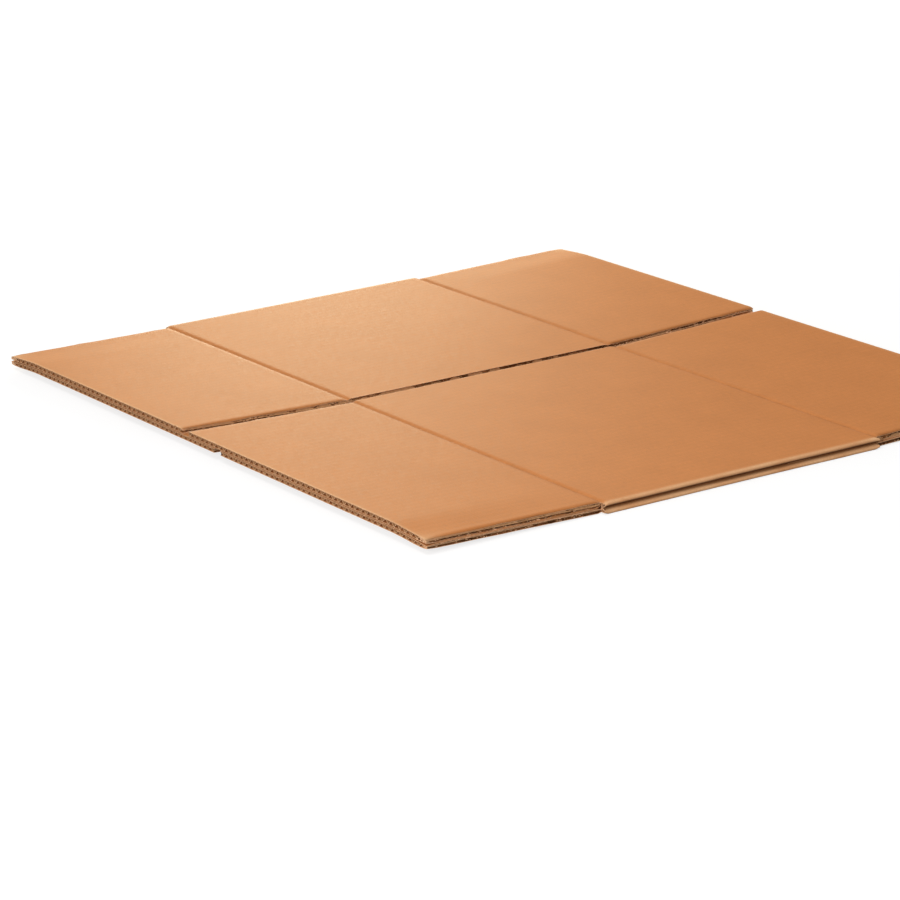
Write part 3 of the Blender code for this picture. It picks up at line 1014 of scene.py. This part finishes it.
def make_lights():
    """A lamp above, one for the cut edges in front, and a low one that pales the left part of the top."""
    centre = (0.0, 0.0, 0.0)
    area_lamp("key", (0.5, -1.0, 2.4), centre, size=1.0, power=18.0, colour=(1.0, 0.98, 0.97))
    area_lamp("front", (1.6, -2.1, 0.9), centre, size=0.8, power=40.0, colour=(1.0, 0.98, 0.96))
    area_lamp(
        "rear_left", (-1.6, 0.75, 0.32), (-0.25, -0.1, 0.0), size=0.5, power=28.0, colour=(1.0, 0.97, 0.7)
    )


WHITE = (1.0, 1.0, 1.0, 1.0)
WORLD_LIGHT = 0.34


def make_world():
    """Soft light from all round, and white where the camera or a reflection sees it."""
    world = bpy.data.worlds.new("studio")
    bpy.context.scene.world = world
    world.use_nodes = True
    tree = world.node_tree
    tree.nodes.clear()
    rays = add_node(tree, "ShaderNodeLightPath").outputs
    seen = add_node(
        tree, "ShaderNodeMath", {0: rays["Is Camera Ray"], 1: rays["Is Glossy Ray"]}, operation="MAXIMUM"
    )
    seen = add_node(
        tree, "ShaderNodeMath", {0: seen.outputs[0], 1: rays["Is Transmission Ray"]}, operation="MAXIMUM"
    )
    light = add_node(tree, "ShaderNodeBackground", {"Color": WHITE, "Strength": WORLD_LIGHT})
    white = add_node(tree, "ShaderNodeBackground", {"Color": WHITE, "Strength": 1.0})
    mix = add_node(
        tree,
        "ShaderNodeMixShader",
        {0: seen.outputs[0], 1: light.outputs["Background"], 2: white.outputs["Background"]},
    )
    add_node(tree, "ShaderNodeOutputWorld", {"Surface": mix.outputs["Shader"]})


FLOOR_SIZE = 24.0
FLOOR_GREY = (0.32, 0.32, 0.32, 1.0)
FLOOR_ROUGHNESS = 0.9
LIT_RADIUS = 0.55
DIM_RADIUS = 1.2
NEAR_GLOW = 0.76
FAR_GLOW = 1.0


def make_floor():
    """A pale floor that shows white to the camera and keeps the box's soft shadow."""
    mesh = bpy.data.meshes.new("floor")
    half = FLOOR_SIZE / 2.0
    corners = [(-half, -half, 0.0), (half, -half, 0.0), (half, half, 0.0), (-half, half, 0.0)]
    mesh.from_pydata(corners, [], [(0, 1, 2, 3)])
    floor = bpy.data.objects.new("floor", mesh)
    bpy.context.scene.collection.objects.link(floor)
    material, tree, shader = new_material("pale_floor")
    shader.inputs["Base Color"].default_value = FLOOR_GREY
    shader.inputs["Roughness"].default_value = FLOOR_ROUGHNESS
    shader.inputs["Specular IOR Level"].default_value = 0.0
    shader.inputs["Emission Color"].default_value = WHITE
    rays = add_node(tree, "ShaderNodeLightPath").outputs
    place = add_node(tree, "ShaderNodeTexCoord").outputs["Object"]
    distance = add_node(tree, "ShaderNodeVectorMath", {0: place}, operation="LENGTH").outputs["Value"]
    glow = ranged(tree, distance, (LIT_RADIUS, DIM_RADIUS), (NEAR_GLOW, FAR_GLOW))
    tree.links.new(product(tree, rays["Is Camera Ray"], glow), shader.inputs["Emission Strength"])
    mesh.materials.append(material)


bpy.context.scene.view_settings.view_transform = "Standard"
make_camera()
make_world()
make_lights()
make_floor()
make_board()
